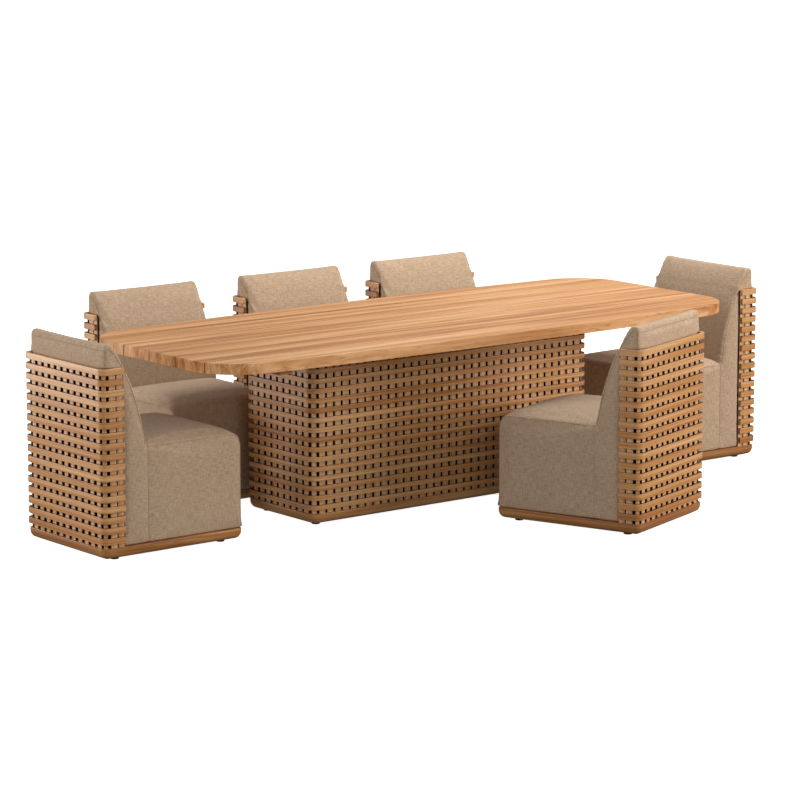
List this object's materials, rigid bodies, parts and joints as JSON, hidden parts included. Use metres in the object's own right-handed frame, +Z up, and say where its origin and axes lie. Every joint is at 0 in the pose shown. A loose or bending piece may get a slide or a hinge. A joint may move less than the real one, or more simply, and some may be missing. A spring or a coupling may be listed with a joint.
{
  "type": "patio dining set",
  "caption": "Long teak dining table with bowed sides on a slatted pedestal, with upholstered tub chairs whose backs are wrapped in a lattice of teak slats.",
  "frame": {"origin": "on the ground at the middle foot, under the centre of the table top", "axes": "+X along the table's length, +Y across it towards the row of three chairs, +Z up"},
  "size_m": [3.462, 2.1916, 0.8488],
  "materials": {
    "teak": "satin oil",
    "upholstery": "linen weave",
    "plywood": "raw",
    "black_plastic": "matt",
    "steel": "zinc plated"
  },
  "bodies": {
    "table": {"top_board_1": "teak", "top_board_2": "teak", "top_board_3": "teak", "top_board_4": "teak", "top_board_5": "teak", "top_board_6": "teak", "top_battens": "teak", "batten_screws": "steel", "pedestal_carcass": "plywood", "mounting_rails": "plywood", "mounting_bolts": "steel", "pedestal_plinth": "teak", "pedestal_feet": "black_plastic", "pedestal_slats": "teak", "pedestal_posts": "teak"},
    "left_end_chair": {"left_end_chair_plinth": "teak", "left_end_chair_glides": "black_plastic", "left_end_chair_slats": "teak", "left_end_chair_posts": "teak", "left_end_chair_frame": "plywood", "left_end_chair_seat_upholstery": "upholstery", "left_end_chair_back_upholstery": "upholstery"},
    "right_end_chair": {"right_end_chair_plinth": "teak", "right_end_chair_glides": "black_plastic", "right_end_chair_slats": "teak", "right_end_chair_posts": "teak", "right_end_chair_frame": "plywood", "right_end_chair_seat_upholstery": "upholstery", "right_end_chair_back_upholstery": "upholstery"},
    "far_left_chair": {"far_left_chair_plinth": "teak", "far_left_chair_glides": "black_plastic", "far_left_chair_slats": "teak", "far_left_chair_posts": "teak", "far_left_chair_frame": "plywood", "far_left_chair_seat_upholstery": "upholstery", "far_left_chair_back_upholstery": "upholstery"},
    "far_middle_chair": {"far_middle_chair_plinth": "teak", "far_middle_chair_glides": "black_plastic", "far_middle_chair_slats": "teak", "far_middle_chair_posts": "teak", "far_middle_chair_frame": "plywood", "far_middle_chair_seat_upholstery": "upholstery", "far_middle_chair_back_upholstery": "upholstery"},
    "far_right_chair": {"far_right_chair_plinth": "teak", "far_right_chair_glides": "black_plastic", "far_right_chair_slats": "teak", "far_right_chair_posts": "teak", "far_right_chair_frame": "plywood", "far_right_chair_seat_upholstery": "upholstery", "far_right_chair_back_upholstery": "upholstery"},
    "near_chair": {"near_chair_plinth": "teak", "near_chair_glides": "black_plastic", "near_chair_slats": "teak", "near_chair_posts": "teak", "near_chair_frame": "plywood", "near_chair_seat_upholstery": "upholstery", "near_chair_back_upholstery": "upholstery"}
  },
  "joints": [
    {"name": "left_end_chair_slide", "type": "slide", "parent": "table", "child": "left_end_chair", "axis": [-1, 0, 0], "range_m": [-0.22, 0.6]},
    {"name": "right_end_chair_slide", "type": "slide", "parent": "table", "child": "right_end_chair", "axis": [1, 0, 0], "range_m": [-0.2, 0.6]},
    {"name": "far_left_chair_slide", "type": "slide", "parent": "table", "child": "far_left_chair", "axis": [0, 1, 0], "range_m": [-0.02, 0.6]},
    {"name": "far_middle_chair_slide", "type": "slide", "parent": "table", "child": "far_middle_chair", "axis": [0, 1, 0], "range_m": [-0.09, 0.6]},
    {"name": "far_right_chair_slide", "type": "slide", "parent": "table", "child": "far_right_chair", "axis": [0, 1, 0], "range_m": [-0.02, 0.6]},
    {"name": "near_chair_slide", "type": "slide", "parent": "table", "child": "near_chair", "axis": [0.342, -0.9397, 0], "range_m": [-0.1, 0.5]}
  ]
}
